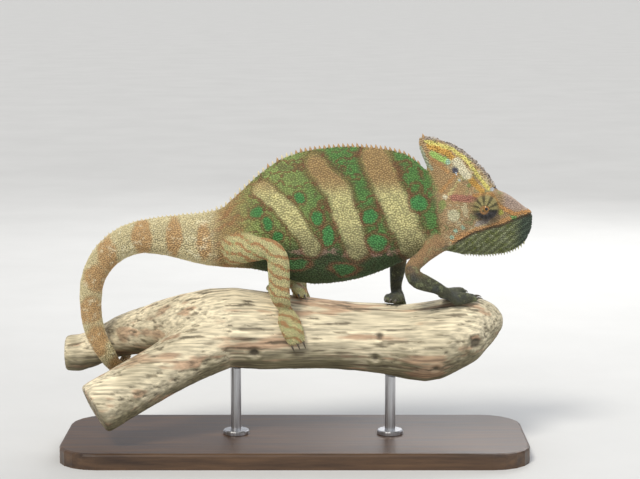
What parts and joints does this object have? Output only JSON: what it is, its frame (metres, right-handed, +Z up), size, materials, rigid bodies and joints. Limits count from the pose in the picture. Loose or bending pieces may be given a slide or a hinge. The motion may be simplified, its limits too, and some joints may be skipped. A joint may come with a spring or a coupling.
{
  "type": "veiled chameleon model on a driftwood perch",
  "caption": "Life-size still model of a male veiled chameleon gripping a cut length of forked driftwood, held over a flat base by short rods.",
  "frame": {"origin": "centre of the base's underside, which is also the bottom centre of the whole model's box", "axes": "+X towards the snout, along the perch; +Y towards the animal's left side; +Z up"},
  "size_m": [0.356, 0.126, 0.2395],
  "materials": {
    "head_skin": "fine pebbled scales, tan, orange and grey-green, satin",
    "body_skin": "bead-like scales in green, brown and pale yellow bands, satin",
    "tail_skin": "bead-like scales in orange-brown and grey-green rings, satin",
    "limb_skin": "bead-like scales in tan, green and orange-brown bars, satin",
    "eye": "dark, wet gloss",
    "driftwood": "bleached, barkless, grained, matt",
    "base_wood": "dark stained, satin",
    "steel": "satin"
  },
  "bodies": {
    "root": {"casque": "head_skin", "head": "head_skin", "lower_jaw": "head_skin", "eye_turret_right": "head_skin", "eye_turret_left": "head_skin", "eyeball_right": "eye", "eyeball_left": "eye", "neck": "body_skin", "trunk": "body_skin", "upper_arm_right": "limb_skin", "forearm_right": "limb_skin", "hand_right": "limb_skin", "upper_arm_left": "limb_skin", "forearm_left": "limb_skin", "hand_left": "limb_skin", "thigh_right": "limb_skin", "shin_right": "limb_skin", "hind_foot_right": "limb_skin", "thigh_left": "limb_skin", "shin_left": "limb_skin", "hind_foot_left": "limb_skin", "tail_base": "tail_skin", "tail_arch": "tail_skin", "tail_drop": "tail_skin", "tail_tip": "tail_skin", "perch_limb": "driftwood", "perch_fork": "driftwood", "stand_base": "base_wood", "stand_rod_rear": "steel", "stand_rod_front": "steel"}
  },
  "joints": []
}
